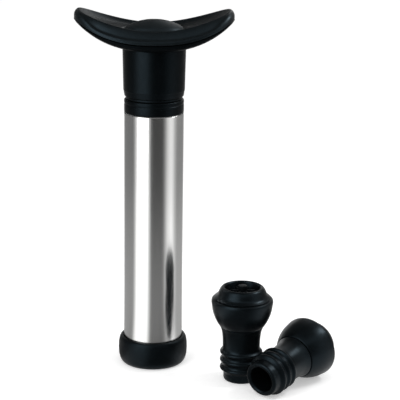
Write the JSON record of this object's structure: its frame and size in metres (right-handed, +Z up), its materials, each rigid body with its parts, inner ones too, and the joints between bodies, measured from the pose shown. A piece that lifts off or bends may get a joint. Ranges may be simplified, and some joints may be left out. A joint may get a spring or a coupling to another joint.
{
  "type": "wine vacuum pump",
  "caption": "Upright hand vacuum pump with a brushed steel barrel, a saddle-shaped palm handle and rubber stoppers with valves, one standing and one lying.",
  "frame": {"origin": "on the floor plane, at the middle of the whole set's footprint", "axes": "+Z up along the barrel, +X along the handle's wings towards the side where the stoppers are, +Y from the front to the back of the pump"},
  "size_m": [0.1352, 0.0835, 0.1884],
  "materials": {
    "brushed_steel": "fine grain along the barrel",
    "rod_steel": "ground",
    "insert_brass": "turned",
    "black_plastic": "satin",
    "liner_plastic": "moulded",
    "pad_rubber": "soft touch",
    "dome_plastic": "satin",
    "black_rubber": "matte",
    "stopper_rubber": "matte",
    "valve_rubber": "matte"
  },
  "bodies": {
    "barrel": {"steel_sleeve": "brushed_steel", "cylinder_liner": "liner_plastic", "foot_ring": "black_rubber", "nozzle_plate": "black_plastic", "nozzle_seal": "black_rubber", "top_collar": "black_plastic", "rod_bush": "liner_plastic", "stroke_buffer": "black_rubber", "landing_ring": "black_rubber"},
    "piston": {"piston": "black_plastic"},
    "piston_ring": {"piston_ring": "black_rubber"},
    "handle": {"piston_rod": "rod_steel", "lower_rod_insert": "insert_brass", "upper_rod_insert": "insert_brass", "rod_washer": "rod_steel", "piston_bolt": "rod_steel", "handle_core": "liner_plastic", "neck_shell": "black_plastic", "wing_shell": "black_plastic", "palm_pad": "pad_rubber", "dome_cap": "dome_plastic", "handle_bolt": "rod_steel", "handle_washer": "rod_steel"},
    "standing_stopper": {"standing_stopper": "stopper_rubber", "standing_valve": "valve_rubber"},
    "lying_stopper": {"lying_stopper": "stopper_rubber", "lying_valve": "valve_rubber"}
  },
  "joints": [
    {"name": "pump_stroke", "type": "slide", "parent": "barrel", "child": "piston", "axis": [0, 0, 1], "range_m": [0, 0.0947]},
    {"name": "handle_turn", "type": "hinge", "parent": "piston", "child": "handle", "pos_m": [-0.02705, 0.01776, 0], "axis": [0, 0, 1], "continuous": true},
    {"name": "ring_float", "type": "slide", "parent": "piston", "child": "piston_ring", "axis": [0, 0, 1], "range_m": [0, 0.0012]},
    {"name": "standing_lift", "type": "slide", "parent": "barrel", "child": "standing_stopper", "axis": [0, 0, 1], "range_m": [0, 0.06]},
    {"name": "lying_slide", "type": "slide", "parent": "barrel", "child": "lying_stopper", "axis": [1, 0, 0], "range_m": [0, 0.06]}
  ]
}
